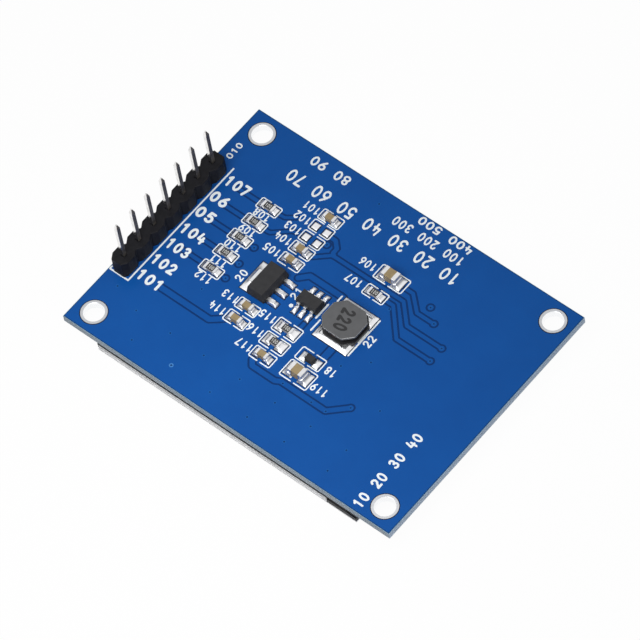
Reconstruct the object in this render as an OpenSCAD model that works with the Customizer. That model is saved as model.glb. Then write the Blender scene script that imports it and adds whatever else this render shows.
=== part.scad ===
// Small display module: a square-pixel OLED panel taped to the front of a blue circuit board.
// The module lies with its display face down at Z = 0, so the parts on the back of the board point up.
// X runs along the board's long side, away from the pin header. Y runs along its short side.
// The origin is on the display face, at the middle of the four mounting holes.

/* [Board] */
// Length of the board, along X
board_l = 47; // [44:0.5:56]
// Width of the board, along Y
board_w = 33.9; // [31:0.1:40]
// Thickness of the board
board_t = 1; // [0.6:0.1:1.6]
// Radius of a mounting hole
hole_r = 1.25; // [1:0.05:1.5]
// Distance from a mounting hole's axis to the board's short edge
hole_inset_x = 2.5; // [2.3:0.1:2.7]
// Distance from a mounting hole's axis to the board's long edge
hole_inset_y = 2.4; // [2.2:0.1:2.8]
// Width of the plated ring round a mounting hole
ring_w = 0.3; // [0.2:0.05:0.6]
// Thickness of the tinned pads and rings
pad_t = 0.04; // [0.03:0.01:0.07]
// Width of the bare board at each end of the panel
end_strip = 4.85; // [4.5:0.05:6]
// Distance from the panel's side to the board's long edge
side_strip = 0; // [0:0.05:0.5]

/* [Display] */
// Thickness of the front glass
glass_t = 0.7; // [0.5:0.1:1.1]
// Width of the ledge that the rear glass leaves free for the driver chip
ledge_w = 4.2; // [3.8:0.1:5]
// Thickness of the rear glass
cap_t = 0.54; // [0.5:0.02:0.8]
// Thickness of the polarizing film
film_t = 0.2; // [0.1:0.05:0.3]
// Distance from the glass edge to the edge of the film
film_inset = 0.2; // [0.1:0.05:0.8]
// Thickness of the tape between the panel and the board
tape_t = 0.2; // [0.15:0.05:0.6]
// Distance from the edge of the rear glass to the edge of the tape
tape_inset = 0.3; // [0.1:0.1:2]
// Width of the rim that seals the rear glass
seal_w = 1.8; // [1.2:0.1:3]
// Depth of the pocket inside the rear glass
pocket_d = 0.24; // [0.15:0.01:0.3]
// Thickness of the drying sheet in the pocket
dryer_t = 0.15; // [0.1:0.01:0.2]

/* [Display driver] */
// Size of the driver chip along X
driver_l = 1.1; // [0.8:0.1:1.4]
// Size of the driver chip along Y
driver_w = 13.6; // [8:0.2:18]
// Height of the driver chip
driver_h = 0.28; // [0.2:0.02:0.32]
// Thickness of the black coating above the driver chip
coating_over = 0.14; // [0.08:0.02:0.16]
// Thickness of the flexible tail
flex_t = 0.1; // [0.08:0.01:0.12]
// Width of the flexible tail, along Y
flex_w = 15; // [8:0.5:20]
// Length of the tail that is bonded to the ledge
flex_bond = 1.3; // [0.8:0.1:1.6]
// Distance from the glass edge to the start of the tail's fold
flex_reach = 0.35; // [0.1:0.05:1.2]
// Length of the tail's upper run, from the fold to its end
flex_return = 3.2; // [2.6:0.1:4]
// Distance between the tail's soldered fingers
finger_pitch = 0.6; // [0.5:0.05:1]

/* [Pin header] */
// Number of pins
pin_count = 7; // [3:1:8]
// Distance between pins
pitch = 2.54; // [2.54:0.01:2.6]
// Distance from the pin row to the board's short edge
header_inset = 1.55; // [1.5:0.05:1.9]
// Offset of the header's middle from the board's centre line
header_shift = -0.25; // [-0.6:0.05:0.6]
// Width of the header's housing, along X
housing_w = 2.35; // [2.2:0.05:2.54]
// Height of the header's housing
housing_h = 2.54; // [2:0.02:3]
// Depth of the notch between two housing segments
notch_d = 0.46; // [0.3:0.02:0.56]
// Length of the outer flat of a housing segment
segment_flat = 1.1; // [0.8:0.05:1.8]
// Side of a square pin
pin_s = 0.5; // [0.46:0.02:0.64]
// Length of a pin above the housing
pin_top = 6; // [4:0.5:9]
// Length of a pin below the board
pin_tail = 1.2; // [0.8:0.05:1.5]
// Length of the taper at each end of a pin
pin_taper = 0.55; // [0.2:0.05:0.7]
// Clearance between a pin's corner and the wall of its hole
pin_hole_gap = 0.05; // [0.03:0.01:0.12]
// Width of the tinned ring round a pin's hole
pin_ring_w = 0.35; // [0.25:0.05:0.45]

/* [Chip parts] */
// Length of a small chip part
chip_l = 1.6; // [1.5:0.05:1.7]
// Width of a small chip part
chip_w = 0.8; // [0.7:0.05:0.9]
// Height of a chip resistor
resistor_h = 0.45; // [0.35:0.05:0.6]
// Height of a small chip capacitor
capacitor_h = 0.8; // [0.6:0.05:1]
// Length of a large chip capacitor
big_l = 2; // [1.9:0.05:2.2]
// Width and height of a large chip capacitor
big_w = 1.25; // [1.1:0.05:1.35]
// Length of a resistor's metal end
resistor_end = 0.3; // [0.2:0.05:0.4]
// Length of a small capacitor's metal end
capacitor_end = 0.35; // [0.25:0.05:0.45]
// Length of a large capacitor's metal end
big_end = 0.5; // [0.3:0.05:0.6]
// Thickness of the metal on a chip's end
end_t = 0.03; // [0.02:0.005:0.05]

/* [Regulator] */
// Body size of the regulator along X
regulator_l = 2.5; // [2.3:0.05:2.6]
// Body size of the regulator along Y
regulator_w = 4.5; // [4.4:0.05:4.6]
// Height of the regulator
regulator_h = 1.5; // [1.4:0.05:1.6]
// Distance between the regulator's leads
regulator_pitch = 1.5; // [1.45:0.01:1.55]
// Thickness of the regulator's leads
regulator_lead_t = 0.4; // [0.35:0.01:0.45]

/* [Converter] */
// Body size of the converter along X
converter_l = 2.9; // [2.8:0.05:3]
// Body size of the converter along Y
converter_w = 1.6; // [1.5:0.05:1.7]
// Height of the converter
converter_h = 1.15; // [1:0.05:1.3]
// Distance between the converter's leads
converter_pitch = 0.95; // [0.9:0.01:1]
// Distance that a lead reaches beyond the converter's body
converter_reach = 0.6; // [0.5:0.05:0.7]
// Thickness of the converter's leads
converter_lead_t = 0.15; // [0.1:0.01:0.2]

/* [Inductor] */
// Size of the inductor along X
inductor_l = 4.8; // [4.6:0.05:4.9]
// Size of the upper flange along Y
inductor_w = 4.35; // [4:0.05:4.5]
// Height of the inductor
inductor_h = 1.45; // [1.2:0.05:2]
// Cut across each corner of the flanges
inductor_corner = 1.1; // [0.6:0.05:1.3]
// Thickness of the upper flange
flange_t = 0.3; // [0.2:0.02:0.35]
// Radius of the core's post
post_r = 1.4; // [1:0.05:1.6]
// Turns of wire that stand above one another
coil_turns = 3; // [2:1:5]

/* [Diode] */
// Body size of the diode along X
diode_l = 1.2; // [1.1:0.05:1.7]
// Body size of the diode along Y
diode_w = 0.85; // [0.7:0.05:1.2]
// Height of the diode
diode_h = 0.65; // [0.5:0.05:1]

/* [Hidden] */
arc_fn = 48;
small_fn = 24;
flip_z = [0, 0, 1];

// Heights of the stack, from the display face up
z_glass = film_t;
z_cap = z_glass + glass_t;
z_tape = z_cap + cap_t;
z_board = z_tape + tape_t;
z_top = z_board + board_t;
z_part = z_top + pad_t;

// Panel
glass_l = board_l - 2 * end_strip;
glass_w = board_w - 2 * side_strip;
cap_l = glass_l - ledge_w;
cap_x = -ledge_w / 2;
glass_end = glass_l / 2;
ledge_x = glass_end - ledge_w;
dryer_gap = 0.4;
tail_end = glass_end - flex_bond;
driver_x = (ledge_x + tail_end) / 2;
coating_h = driver_h + coating_over;
coating_gap = 0.1;
coating_side = 0.15;
fold_x = glass_end + flex_reach;
fold_high = z_board - pad_t;
fold_r = (fold_high - z_cap) / 2;
finger_l = 1.8;
finger_inset = 0.1;
finger_w = 0.33;
finger_count = floor((flex_w - finger_pitch) / finger_pitch);

// Header
row_x = -board_l / 2 + header_inset;
z_tip = z_part + housing_h + pin_top;
z_tail = z_board - pin_tail;
pin_fit = 0.01;
pin_hole_r = pin_s * sqrt(2) / 2 + pin_hole_gap;
pin_pad_r = pin_hole_r + pin_ring_w;
pin_point = 0.3;
foot_gap = 0.25;
foot_l = 1.14;
// Profile of a tail's solder: its top, where it leans on the pin, and the shoulder above the pad
tail_bare = 0.4;
solder_h = pin_tail - tail_bare;
solder_r = pin_hole_r - pin_hole_gap / 2;
shoulder_r = solder_r + 0.12;
shoulder_h = 0.2;
neck_r = solder_r + 0.04;
neck_h = 0.48;

// Kinds of chip part: length, width, height, metal end, pad beyond the end, pad under the chip,
// pad width beyond the chip's side
small_resistor = [chip_l, chip_w, resistor_h, resistor_end, 0.45, 0.475, 0.075];
wide_resistor = [chip_l, chip_w, resistor_h, resistor_end, 0.65, 0.425, 0.275];
small_capacitor = [chip_l, chip_w, capacitor_h, capacitor_end, 0.45, 0.475, 0.075];
big_capacitor = [big_l, big_w, big_w, big_end, 0.68, 0.6, 0.22];

// Places of the chip parts from the middle of the board, with their kind
RESISTORS = [
    [-14, 7.45, small_resistor], [-14, 4.95, small_resistor], [-14, 2.45, small_resistor],
    [-14, -0.05, small_resistor], [-14, -2.55, small_resistor], [2.9, 5.65, small_resistor],
    [-2.02, -3.65, wide_resistor], [-2.02, -5.75, wide_resistor]
];
CAPACITORS = [
    [-7.35, 10.25, small_capacitor], [-7.35, 5.2, small_capacitor], [-7.35, 3.45, small_capacitor],
    [-7.4, -4.05, small_capacitor], [-7.4, -6.05, small_capacitor], [-2, -7.88, small_capacitor],
    [3.12, 8.28, big_capacitor], [2.68, -7.32, big_capacitor]
];
// Places left without a part, where only the tinned pads show
EMPTY_PLACES = [[-7.35, 8.65, small_resistor], [-7.35, 6.93, small_resistor]];
end_edge = 0.048;
coat_inset = 0.04;
coat_rise = 0.01;
solder_share = 0.75;
solder_inset = 0.06;
toe_t = 0.02;

// Regulator, in a three-lead package with a wide cooling tab
regulator_at = [-7.5, -0.42];
regulator_draft = 0.2;
regulator_foot = 0.95;
regulator_lead_w = 0.45;
regulator_root = 0.6;
tab_reach = 0.7;
tab_w = 1.7;
tab_inner = 1.7;
tab_pad_side = 0.175;
tab_pad_w = regulator_w - 2 * tab_pad_side;
tab_pad_beyond = 0.5;
tab_pad_under = 0.6;
lead_pad_w = 0.75;
lead_pad_beyond = 0.45;

// Converter, in a six-lead gull-wing package
converter_at = [-2, 0.4];
converter_draft = 0.08;
converter_lift = 0.06;
converter_lead_w = 0.4;
converter_foot = 0.42;
converter_span = converter_w + 2 * converter_reach;
converter_exit = 0.5;
converter_shoulder = 0.12;
converter_heel = 0.06;
converter_bend = 0.08;
converter_root = 0.25;
converter_pad_w = 0.6;
converter_pad_beyond = 0.65;
dimple_at = [0.45, 0.4];
dimple_r = 0.16;
dimple_d = 0.05;

// Inductor, a drum core with a winding between two flanges
inductor_at = [2.95, 0.52];
lower_lip = 0.2;
lower_w = inductor_w + 2 * lower_lip;
lower_t = 0.34;
terminal_t = 0.1;
terminal_l = 1.3;
terminal_lip = 0.26;
terminal_inset = 0.5;
coil_gap = 0.02;
coil_inset = 0.15;
turn_round = 0.48;
turn_depth = 0.4;
coil_r = min(inductor_w, inductor_l) / 2 - coil_inset;
z_lower = z_part + terminal_t;
z_coil = z_lower + lower_t;
z_upper = z_part + inductor_h - flange_t;
inductor_pad_l = 1.55;
inductor_pad_beyond = 0.6;

// Diode, in a small flat-lead package
diode_at = [2.62, -5.15];
diode_draft = 0.06;
diode_lead_w = 0.32;
diode_lead_t = 0.13;
diode_reach = 0.2;
diode_root = 0.3;
diode_pad_w = 1.2;
diode_pad_beyond = 0.75;
diode_pad_under = 0.1;

function pin_y(i) = header_shift + (i - (pin_count - 1) / 2) * pitch;

// A block centred in X and Y that stands on Z = 0
module block(l, w, h) {
    translate([-l / 2, -w / 2, 0]) cube([l, w, h]);
}

// A profile drawn in X and Z, stretched along Y and centred on it
module along_y(w) {
    translate([0, w / 2, 0]) rotate([90, 0, 0]) linear_extrude(w) children();
}

// A profile drawn in Y and Z, stretched along X and centred on it
module along_x(l) {
    rotate([0, 0, 90]) along_y(l) children();
}

// A rectangle with its four corners cut
module cut_square(l, w, c) {
    polygon([
        [-l / 2 + c, -w / 2], [l / 2 - c, -w / 2], [l / 2, -w / 2 + c], [l / 2, w / 2 - c],
        [l / 2 - c, w / 2], [-l / 2 + c, w / 2], [-l / 2, w / 2 - c], [-l / 2, -w / 2 + c]
    ]);
}

// A block with every edge cut, as a tumbled ceramic part has
module edged_block(l, w, h, c) {
    intersection() {
        linear_extrude(h) cut_square(l, w, c);
        along_y(w) translate([0, h / 2]) cut_square(l, h, c);
        along_x(l) translate([0, h / 2]) cut_square(w, h, c);
    }
}

// A moulded package: its sides lean in above and below the height where the leads leave
module moulded(l, w, h, split, draft) {
    low = draft / 3;
    module side(half) {
        polygon([
            [-half + low, 0], [half - low, 0], [half, split],
            [half - draft, h], [-half + draft, h], [-half, split]
        ]);
    }
    intersection() {
        along_y(w) side(l / 2);
        along_x(l) side(w / 2);
    }
}

// A hollow-sided wedge of solder that climbs from a pad to a part's end, leaning against X = 0
module fillet(l, w, h) {
    steps = 5;
    along_y(w) polygon(concat(
        [[0, 0], [l, 0]],
        [for (k = [0 : steps]) let (a = 90 * k / steps)
            [l * (1 - sin(a)), toe_t + (h - toe_t) * (1 - cos(a))]]
    ));
}

module at_hole_places() {
    for (sx = [-1, 1], sy = [-1, 1])
        translate([sx * (board_l / 2 - hole_inset_x), sy * (board_w / 2 - hole_inset_y), 0]) children();
}

module at_pins() {
    for (i = [0 : pin_count - 1]) translate([row_x, pin_y(i), 0]) children();
}

// Both ends of a chip part, each turned to face away from its middle
module at_both_ends(l) {
    for (turn = [0, 180]) rotate([0, 0, turn]) translate([l / 2, 0, 0]) children();
}

// ---- Board ----

module circuit_board() {
    color([0.10, 0.33, 0.62]) difference() {
        translate([0, 0, z_board]) block(board_l, board_w, board_t);
        at_hole_places() translate([0, 0, z_board - 1]) cylinder(r = hole_r, h = board_t + 2, $fn = arc_fn);
        at_pins() translate([0, 0, z_board - 1]) cylinder(r = pin_hole_r, h = board_t + 2, $fn = small_fn);
    }
}

module ring(r_out, r_in, z, fn) {
    translate([0, 0, z]) linear_extrude(pad_t) difference() {
        circle(r = r_out, $fn = fn);
        circle(r = r_in, $fn = fn);
    }
}

module chip_pads(kind) {
    w = kind[1] + 2 * kind[6];
    at_both_ends(kind[0]) translate([-kind[5], -w / 2, z_top]) cube([kind[4] + kind[5], w, pad_t]);
}

module regulator_pads() {
    x_lead = regulator_l / 2 + regulator_foot + lead_pad_beyond;
    x_tab = -regulator_l / 2 - tab_reach - tab_pad_beyond;
    translate([x_tab, -tab_pad_w / 2, z_top])
        cube([tab_reach + tab_pad_beyond + tab_pad_under, tab_pad_w, pad_t]);
    for (k = [-1 : 1]) translate([regulator_l / 2, k * regulator_pitch - lead_pad_w / 2, z_top])
        cube([x_lead - regulator_l / 2, lead_pad_w, pad_t]);
}

module converter_pads() {
    for (turn = [0, 180], k = [-1 : 1]) rotate([0, 0, turn])
        translate([k * converter_pitch - converter_pad_w / 2, converter_span / 2 - converter_foot, z_top])
            cube([converter_pad_w, converter_foot + converter_pad_beyond, pad_t]);
}

module inductor_pads() {
    for (turn = [0, 180]) rotate([0, 0, turn])
        translate([-inductor_l / 2, lower_w / 2 + inductor_pad_beyond - inductor_pad_l, z_top])
            cube([inductor_l, inductor_pad_l, pad_t]);
}

module diode_pads() {
    for (turn = [0, 180]) rotate([0, 0, turn])
        translate([diode_l / 2 - diode_pad_under, -diode_pad_w / 2, z_top])
            cube([diode_pad_under + diode_pad_beyond, diode_pad_w, pad_t]);
}

module flex_fingers() {
    for (k = [0 : finger_count - 1])
        translate([fold_x - flex_return + finger_inset,
                   (k - (finger_count - 1) / 2) * finger_pitch - finger_w / 2, fold_high])
            cube([finger_l, finger_w, pad_t]);
}

module plated_pads() {
    color([0.86, 0.87, 0.88]) {
        for (z = [z_board - pad_t, z_top]) {
            at_hole_places() ring(hole_r + ring_w, hole_r, z, arc_fn);
            at_pins() ring(pin_pad_r, pin_hole_r, z, small_fn);
        }
        for (p = concat(RESISTORS, CAPACITORS, EMPTY_PLACES)) translate([p[0], p[1], 0]) chip_pads(p[2]);
        translate(regulator_at) regulator_pads();
        translate(converter_at) converter_pads();
        translate(inductor_at) inductor_pads();
        translate(diode_at) diode_pads();
        flex_fingers();
    }
}

module chip_solder(kind) {
    at_both_ends(kind[0]) translate([0, 0, z_part])
        fillet(kind[4] - solder_inset, kind[1], kind[2] * solder_share);
}

module regulator_solder() {
    for (k = [-1 : 1]) translate([regulator_l / 2 + regulator_foot, k * regulator_pitch, z_part])
        fillet(lead_pad_beyond - solder_inset, regulator_lead_w, regulator_lead_t * solder_share);
    translate([-regulator_l / 2 - tab_reach, 0, z_part]) rotate([0, 0, 180])
        fillet(tab_pad_beyond - solder_inset, tab_w, regulator_lead_t * solder_share);
}

module converter_solder() {
    for (turn = [0, 180], k = [-1 : 1]) rotate([0, 0, turn])
        translate([k * converter_pitch, converter_span / 2, z_part]) rotate([0, 0, 90])
            fillet(converter_pad_beyond - solder_inset, converter_lead_w, converter_lead_t);
}

module inductor_solder() {
    for (turn = [0, 180]) rotate([0, 0, turn])
        translate([0, lower_w / 2 + terminal_t, z_part]) rotate([0, 0, 90])
            fillet(inductor_pad_beyond - terminal_t - solder_inset,
                   inductor_l - 2 * inductor_corner, terminal_lip);
}

module diode_solder() {
    for (turn = [0, 180]) rotate([0, 0, turn])
        translate([diode_l / 2 + diode_reach, 0, z_part])
            fillet(diode_pad_beyond - diode_reach - solder_inset, diode_lead_w, diode_lead_t);
}

// The cone of solder round a pin's tail on the display side of the board
module tail_solder() {
    difference() {
        translate([0, 0, z_board - pad_t]) mirror(flip_z)
            rotate_extrude($fn = small_fn) polygon([
                [0, 0], [pin_pad_r - solder_inset, 0], [shoulder_r, shoulder_h],
                [neck_r, neck_h], [solder_r, solder_h], [0, solder_h]
            ]);
        translate([0, 0, z_tail - 1]) block(pin_s + 2 * pin_fit, pin_s + 2 * pin_fit, pin_tail + 2);
    }
}

module solder_joints() {
    color([0.78, 0.79, 0.80]) {
        for (p = concat(RESISTORS, CAPACITORS)) translate([p[0], p[1], 0]) chip_solder(p[2]);
        translate(regulator_at) regulator_solder();
        translate(converter_at) converter_solder();
        translate(inductor_at) inductor_solder();
        translate(diode_at) diode_solder();
        at_pins() tail_solder();
    }
}

// ---- Pin header ----

// Outline of one segment, with the notches where the strip is snapped to length
module segment_outline() {
    half = housing_w / 2;
    waist = half - notch_d;
    polygon([
        [-half, -segment_flat / 2], [-waist, -pitch / 2], [waist, -pitch / 2], [half, -segment_flat / 2],
        [half, segment_flat / 2], [waist, pitch / 2], [-waist, pitch / 2], [-half, segment_flat / 2]
    ]);
}

module header_housing() {
    color([0.13, 0.14, 0.15]) difference() {
        at_pins() translate([0, 0, z_part]) linear_extrude(housing_h) segment_outline();
        at_pins() translate([0, 0, z_part - 1])
            block(pin_s + 2 * pin_fit, pin_s + 2 * pin_fit, housing_h + 2);
        // The hollow under each segment, between two feet that stand on the board
        at_pins() translate([0, 0, z_part - 1]) block(housing_w + 1, pitch - foot_l, 1 + foot_gap);
    }
}

// A square pin with four-sided points at both ends
module header_pin(i) {
    half = pin_s / 2;
    tip = half * pin_point;
    module side() {
        polygon([
            [-tip, z_tail], [tip, z_tail], [half, z_tail + pin_taper], [half, z_tip - pin_taper],
            [tip, z_tip], [-tip, z_tip], [-half, z_tip - pin_taper], [-half, z_tail + pin_taper]
        ]);
    }
    color([0.80, 0.80, 0.78]) translate([row_x, pin_y(i), 0]) intersection() {
        along_y(pin_s) side();
        along_x(pin_s) side();
    }
}

// ---- Display panel ----

module mounting_tape() {
    color([0.90, 0.90, 0.86]) translate([cap_x, 0, z_tape])
        block(cap_l - 2 * tape_inset, glass_w - 2 * tape_inset, tape_t);
}

module front_glass() {
    color([0.72, 0.80, 0.80]) translate([0, 0, z_glass]) block(glass_l, glass_w, glass_t);
}

module polarizer() {
    color([0.06, 0.06, 0.07]) translate([cap_x, 0, 0])
        block(cap_l - 2 * film_inset, glass_w - 2 * film_inset, film_t);
}

// The rear glass, with the shallow pocket that faces the pixels
module cap_glass() {
    color([0.42, 0.48, 0.48]) difference() {
        translate([cap_x, 0, z_cap]) block(cap_l, glass_w, cap_t);
        translate([cap_x, 0, z_cap - 1])
            block(cap_l - 2 * seal_w, glass_w - 2 * seal_w, 1 + pocket_d);
    }
}

module desiccant() {
    color([0.88, 0.86, 0.80]) translate([cap_x, 0, z_cap + pocket_d - dryer_t])
        block(cap_l - 2 * (seal_w + dryer_gap), glass_w - 2 * (seal_w + dryer_gap), dryer_t);
}

module driver_chip() {
    color([0.35, 0.36, 0.38]) translate([driver_x, 0, z_cap]) block(driver_l, driver_w, driver_h);
}

module driver_coating() {
    color([0.05, 0.05, 0.06]) difference() {
        translate([ledge_x + coating_gap, -glass_w / 2 + coating_side, z_cap])
            cube([tail_end - ledge_x - 2 * coating_gap, glass_w - 2 * coating_side, coating_h]);
        translate([driver_x, 0, z_cap - 1]) block(driver_l, driver_w, driver_h + 1);
    }
}

// The tail leaves the ledge, folds up round the glass edge and runs back under the board
module flex_tail() {
    color([0.72, 0.42, 0.14]) along_y(flex_w) {
        translate([tail_end, z_cap]) square([fold_x - tail_end, flex_t]);
        translate([fold_x - flex_return, fold_high - flex_t]) square([flex_return, flex_t]);
        translate([fold_x, z_cap + fold_r]) difference() {
            circle(r = fold_r, $fn = arc_fn);
            circle(r = fold_r - flex_t, $fn = arc_fn);
            translate([-2 * fold_r, -fold_r - 1]) square([2 * fold_r, 2 * fold_r + 2]);
        }
    }
}

// ---- Regulator ----

module regulator_frame() {
    translate([0, 0, z_part]) {
        for (k = [-1, 1])
            translate([regulator_l / 2 - regulator_root, k * regulator_pitch - regulator_lead_w / 2, 0])
                cube([regulator_root + regulator_foot, regulator_lead_w, regulator_lead_t]);
        linear_extrude(regulator_lead_t) polygon([
            [-regulator_l / 2 - tab_reach, -tab_w / 2], [-regulator_l / 2 + tab_inner, -tab_w / 2],
            [regulator_l / 2 - regulator_root / 2, -regulator_lead_w / 2],
            [regulator_l / 2 + regulator_foot, -regulator_lead_w / 2],
            [regulator_l / 2 + regulator_foot, regulator_lead_w / 2],
            [regulator_l / 2 - regulator_root / 2, regulator_lead_w / 2],
            [-regulator_l / 2 + tab_inner, tab_w / 2], [-regulator_l / 2 - tab_reach, tab_w / 2]
        ]);
    }
}

module regulator_body() {
    color([0.16, 0.16, 0.17]) translate(regulator_at) difference() {
        translate([0, 0, z_part])
            moulded(regulator_l, regulator_w, regulator_h, regulator_lead_t, regulator_draft);
        regulator_frame();
    }
}

module regulator_leads() {
    color([0.82, 0.83, 0.84]) translate(regulator_at) regulator_frame();
}

// ---- Converter ----

// One gull-wing lead, drawn from its root in the body out to its foot
module gull_lead() {
    root = converter_w / 2 - converter_root;
    out = converter_w / 2 + converter_shoulder;
    foot = converter_span / 2 - converter_foot + converter_heel;
    tip = converter_span / 2;
    t = converter_lead_t;
    along_x(converter_lead_w) polygon([
        [root, converter_exit], [out, converter_exit], [foot, 0], [tip, 0],
        [tip, t], [foot + converter_bend, t], [out + converter_bend, converter_exit + t],
        [root, converter_exit + t]
    ]);
}

module converter_frame() {
    translate([0, 0, z_part]) for (turn = [0, 180], k = [-1 : 1])
        rotate([0, 0, turn]) translate([k * converter_pitch, 0, 0]) gull_lead();
}

module converter_body() {
    split = converter_exit + converter_lead_t / 2 - converter_lift;
    color([0.17, 0.17, 0.18]) translate(converter_at) difference() {
        translate([0, 0, z_part + converter_lift])
            moulded(converter_l, converter_w, converter_h - converter_lift, split, converter_draft);
        converter_frame();
        translate([-converter_l / 2, -converter_w / 2, z_part + converter_h - dimple_d])
            translate(dimple_at) cylinder(r = dimple_r, h = 1, $fn = small_fn);
    }
}

module converter_leads() {
    color([0.82, 0.83, 0.84]) translate(converter_at) converter_frame();
}

// ---- Inductor ----

module inductor_core() {
    color([0.50, 0.51, 0.52]) translate(inductor_at) union() {
        translate([0, 0, z_lower]) linear_extrude(lower_t) cut_square(inductor_l, lower_w, inductor_corner);
        translate([0, 0, z_coil]) cylinder(r = post_r, h = z_upper - z_coil, $fn = arc_fn);
        translate([0, 0, z_upper])
            linear_extrude(flange_t) cut_square(inductor_l, inductor_w, inductor_corner);
    }
}

// The winding: turns with rounded sides, stacked in the groove between the flanges
module inductor_coil() {
    height = z_upper - z_coil - 2 * coil_gap;
    turn_h = height / coil_turns;
    turn_r = turn_h * turn_round;
    color([0.30, 0.20, 0.14]) translate([inductor_at[0], inductor_at[1], z_coil + coil_gap])
        rotate_extrude($fn = arc_fn) {
            translate([post_r + coil_gap, 0])
                square([coil_r - turn_h * turn_depth - post_r - coil_gap, height]);
            for (k = [0 : coil_turns - 1]) translate([coil_r - turn_r, (k + 0.5) * turn_h])
                circle(r = turn_r, $fn = 16);
        }
}

module inductor_terminals() {
    color([0.84, 0.85, 0.86]) translate(inductor_at) for (turn = [0, 180]) rotate([0, 0, turn]) {
        translate([-inductor_l / 2 + terminal_inset, lower_w / 2 - terminal_l, z_part])
            cube([inductor_l - 2 * terminal_inset, terminal_l, terminal_t]);
        translate([-inductor_l / 2 + inductor_corner, lower_w / 2, z_part])
            cube([inductor_l - 2 * inductor_corner, terminal_t, terminal_lip + terminal_t]);
    }
}

// ---- Diode ----

module diode_frame() {
    translate([0, 0, z_part]) for (turn = [0, 180]) rotate([0, 0, turn])
        translate([diode_l / 2 - diode_root, -diode_lead_w / 2, 0])
            cube([diode_root + diode_reach, diode_lead_w, diode_lead_t]);
}

module diode_body() {
    color([0.12, 0.12, 0.13]) translate(diode_at) difference() {
        translate([0, 0, z_part]) moulded(diode_l, diode_w, diode_h, diode_lead_t, diode_draft);
        diode_frame();
    }
}

module diode_leads() {
    color([0.82, 0.83, 0.84]) translate(diode_at) diode_frame();
}

// ---- Chip parts ----

// The ceramic bar of a chip resistor, with the dark coat between its metal ends
module resistor_bar(kind) {
    translate([0, 0, end_t]) block(kind[0] - 2 * end_t, kind[1], kind[2] - 2 * end_t);
    translate([0, 0, kind[2] - end_t])
        block(kind[0] - 2 * kind[3], kind[1] - 2 * coat_inset, end_t + coat_rise);
}

module resistor_body(i) {
    p = RESISTORS[i];
    color([0.20, 0.20, 0.21]) translate([p[0], p[1], z_part]) resistor_bar(p[2]);
}

// Metal that wraps the top, the end and the underside of the bar
module resistor_ends(i) {
    p = RESISTORS[i];
    kind = p[2];
    color([0.84, 0.85, 0.86]) translate([p[0], p[1], z_part]) at_both_ends(kind[0])
        along_y(kind[1]) difference() {
            translate([-kind[3], 0]) square([kind[3], kind[2]]);
            translate([-kind[3] - 1, end_t]) square([kind[3] + 1 - end_t, kind[2] - 2 * end_t]);
        }
}

module capacitor_bar(kind) {
    translate([0, 0, end_t]) block(kind[0] - 2 * end_t, kind[1] - 2 * end_t, kind[2] - 2 * end_t);
}

module capacitor_body(i) {
    p = CAPACITORS[i];
    color([0.78, 0.68, 0.52]) translate([p[0], p[1], z_part]) capacitor_bar(p[2]);
}

// Metal caps that hold the bar's two ends on five sides
module capacitor_ends(i) {
    p = CAPACITORS[i];
    kind = p[2];
    color([0.84, 0.85, 0.86]) translate([p[0], p[1], z_part]) difference() {
        edged_block(kind[0], kind[1], kind[2], end_edge);
        capacitor_bar(kind);
        translate([0, 0, -1]) block(kind[0] - 2 * kind[3], kind[1] + 2, kind[2] + 2);
    }
}

circuit_board();
plated_pads();
solder_joints();
header_housing();
for (i = [0 : pin_count - 1])
    header_pin(i);
mounting_tape();
front_glass();
polarizer();
cap_glass();
desiccant();
driver_chip();
driver_coating();
flex_tail();
regulator_body();
regulator_leads();
converter_body();
converter_leads();
inductor_core();
inductor_coil();
inductor_terminals();
diode_body();
diode_leads();
for (i = [0 : len(RESISTORS) - 1]) {
    resistor_body(i);
    resistor_ends(i);
}
for (i = [0 : len(CAPACITORS) - 1]) {
    capacitor_body(i);
    capacitor_ends(i);
}
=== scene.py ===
import math
import random

import bmesh
import bpy
from mathutils import Matrix, Vector
from mathutils.geometry import delaunay_2d_cdt


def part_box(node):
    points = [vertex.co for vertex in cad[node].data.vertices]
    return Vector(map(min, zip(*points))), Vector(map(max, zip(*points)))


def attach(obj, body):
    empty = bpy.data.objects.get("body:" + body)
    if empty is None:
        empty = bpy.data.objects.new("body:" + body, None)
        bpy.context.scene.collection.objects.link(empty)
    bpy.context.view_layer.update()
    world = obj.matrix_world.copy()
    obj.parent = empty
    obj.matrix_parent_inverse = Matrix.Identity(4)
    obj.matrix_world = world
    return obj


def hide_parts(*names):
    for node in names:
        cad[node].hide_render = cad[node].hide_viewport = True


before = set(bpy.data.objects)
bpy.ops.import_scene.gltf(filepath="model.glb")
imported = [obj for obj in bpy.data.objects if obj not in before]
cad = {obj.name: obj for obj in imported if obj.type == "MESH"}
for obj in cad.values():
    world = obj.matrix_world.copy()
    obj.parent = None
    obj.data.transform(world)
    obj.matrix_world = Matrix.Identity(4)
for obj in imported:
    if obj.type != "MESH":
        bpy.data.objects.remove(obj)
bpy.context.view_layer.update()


# ---- Bare board --------------------------------------------------------------------------------
# The board is a sheet of woven glass and resin, one millimetre thick. Its short sides are routed and
# its long sides are snapped, so its edge shows the pale layers. Dark resin shows where the mask is open.

mm = 0.001


def box_mm(node):
    """A CAD piece's lowest and highest corners, in millimetres."""
    return [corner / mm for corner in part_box(node)]


board_low, board_high = box_mm("circuit_board")
board_x, board_y, board_top = board_high
board_under = board_low.z


def new_finish(name, roughness, metallic=0.0, **shader_values):
    """A material and its shader, ready for the nodes of one section."""
    finish = bpy.data.materials.new(name)
    finish.use_nodes = True
    shader = finish.node_tree.nodes["Principled BSDF"]
    for socket, value in {"Roughness": roughness, "Metallic": metallic, **shader_values}.items():
        shader.inputs[socket.replace("_", " ")].default_value = value
    return finish, finish.node_tree, shader


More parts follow.
